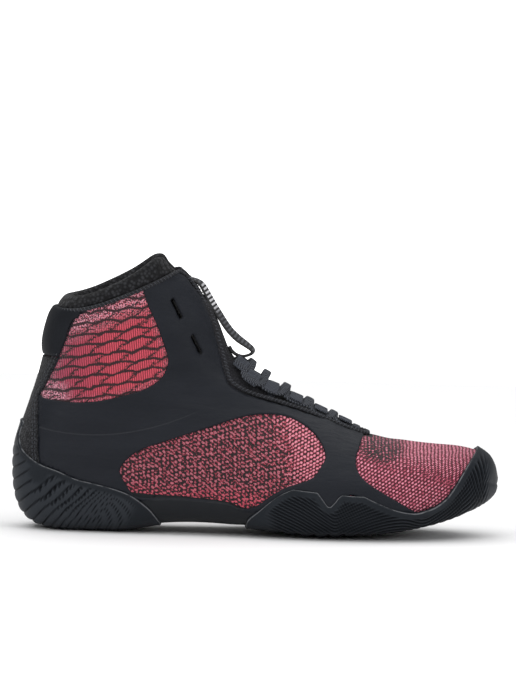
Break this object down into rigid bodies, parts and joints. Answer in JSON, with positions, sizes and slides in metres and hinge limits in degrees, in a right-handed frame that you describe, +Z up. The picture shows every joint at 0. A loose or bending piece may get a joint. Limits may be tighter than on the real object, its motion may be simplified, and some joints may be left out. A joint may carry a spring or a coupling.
{
  "type": "high-top wrestling shoe",
  "caption": "Hollow high-top wrestling shoe with knit and film upper, wrapped rubber sole, padded collar, tongue and laced throat with a lace keeper.",
  "frame": {"origin": "middle of the bounding box at floor level", "axes": "+X towards the toe along the foot, +Z up, -Y towards the outer (lateral) side of this right shoe"},
  "size_m": [0.2892, 0.0994, 0.1598],
  "materials": {
    "black_rubber": "moulded, satin",
    "arch_plastic": "smooth, low sheen",
    "insole_foam": "brushed cloth over foam",
    "knit": "knitted mesh, pink-red with dark flecks",
    "skin_film": "smooth coated synthetic",
    "heel_textile": "coarse woven texture",
    "pad_leather": "smooth, soft sheen",
    "dark_mesh": "padded spacer mesh",
    "binding": "rolled edge tape",
    "lace_cord": "flat woven lace",
    "striped_elastic": "ribbed elastic, dark with pale stripes",
    "webbing": "woven webbing"
  },
  "bodies": {
    "root": {"outsole_heel": "black_rubber", "outsole_forefoot": "black_rubber", "midsole": "arch_plastic", "insole": "insole_foam", "upper": "knit", "film_lateral": "skin_film", "film_medial": "skin_film", "heel_strip": "heel_textile", "heel_pad": "pad_leather", "tongue": "dark_mesh", "collar_pad": "dark_mesh", "throat_binding": "binding", "laces": "lace_cord", "lace_keeper": "striped_elastic", "lace_loop_lateral_1": "webbing", "lace_loop_lateral_2": "webbing", "lace_loop_lateral_3": "webbing", "lace_loop_lateral_4": "webbing", "lace_loop_lateral_5": "webbing", "lace_loop_lateral_6": "webbing", "lace_loop_medial_1": "webbing", "lace_loop_medial_2": "webbing", "lace_loop_medial_3": "webbing", "lace_loop_medial_4": "webbing", "lace_loop_medial_5": "webbing", "lace_loop_medial_6": "webbing"}
  },
  "joints": []
}
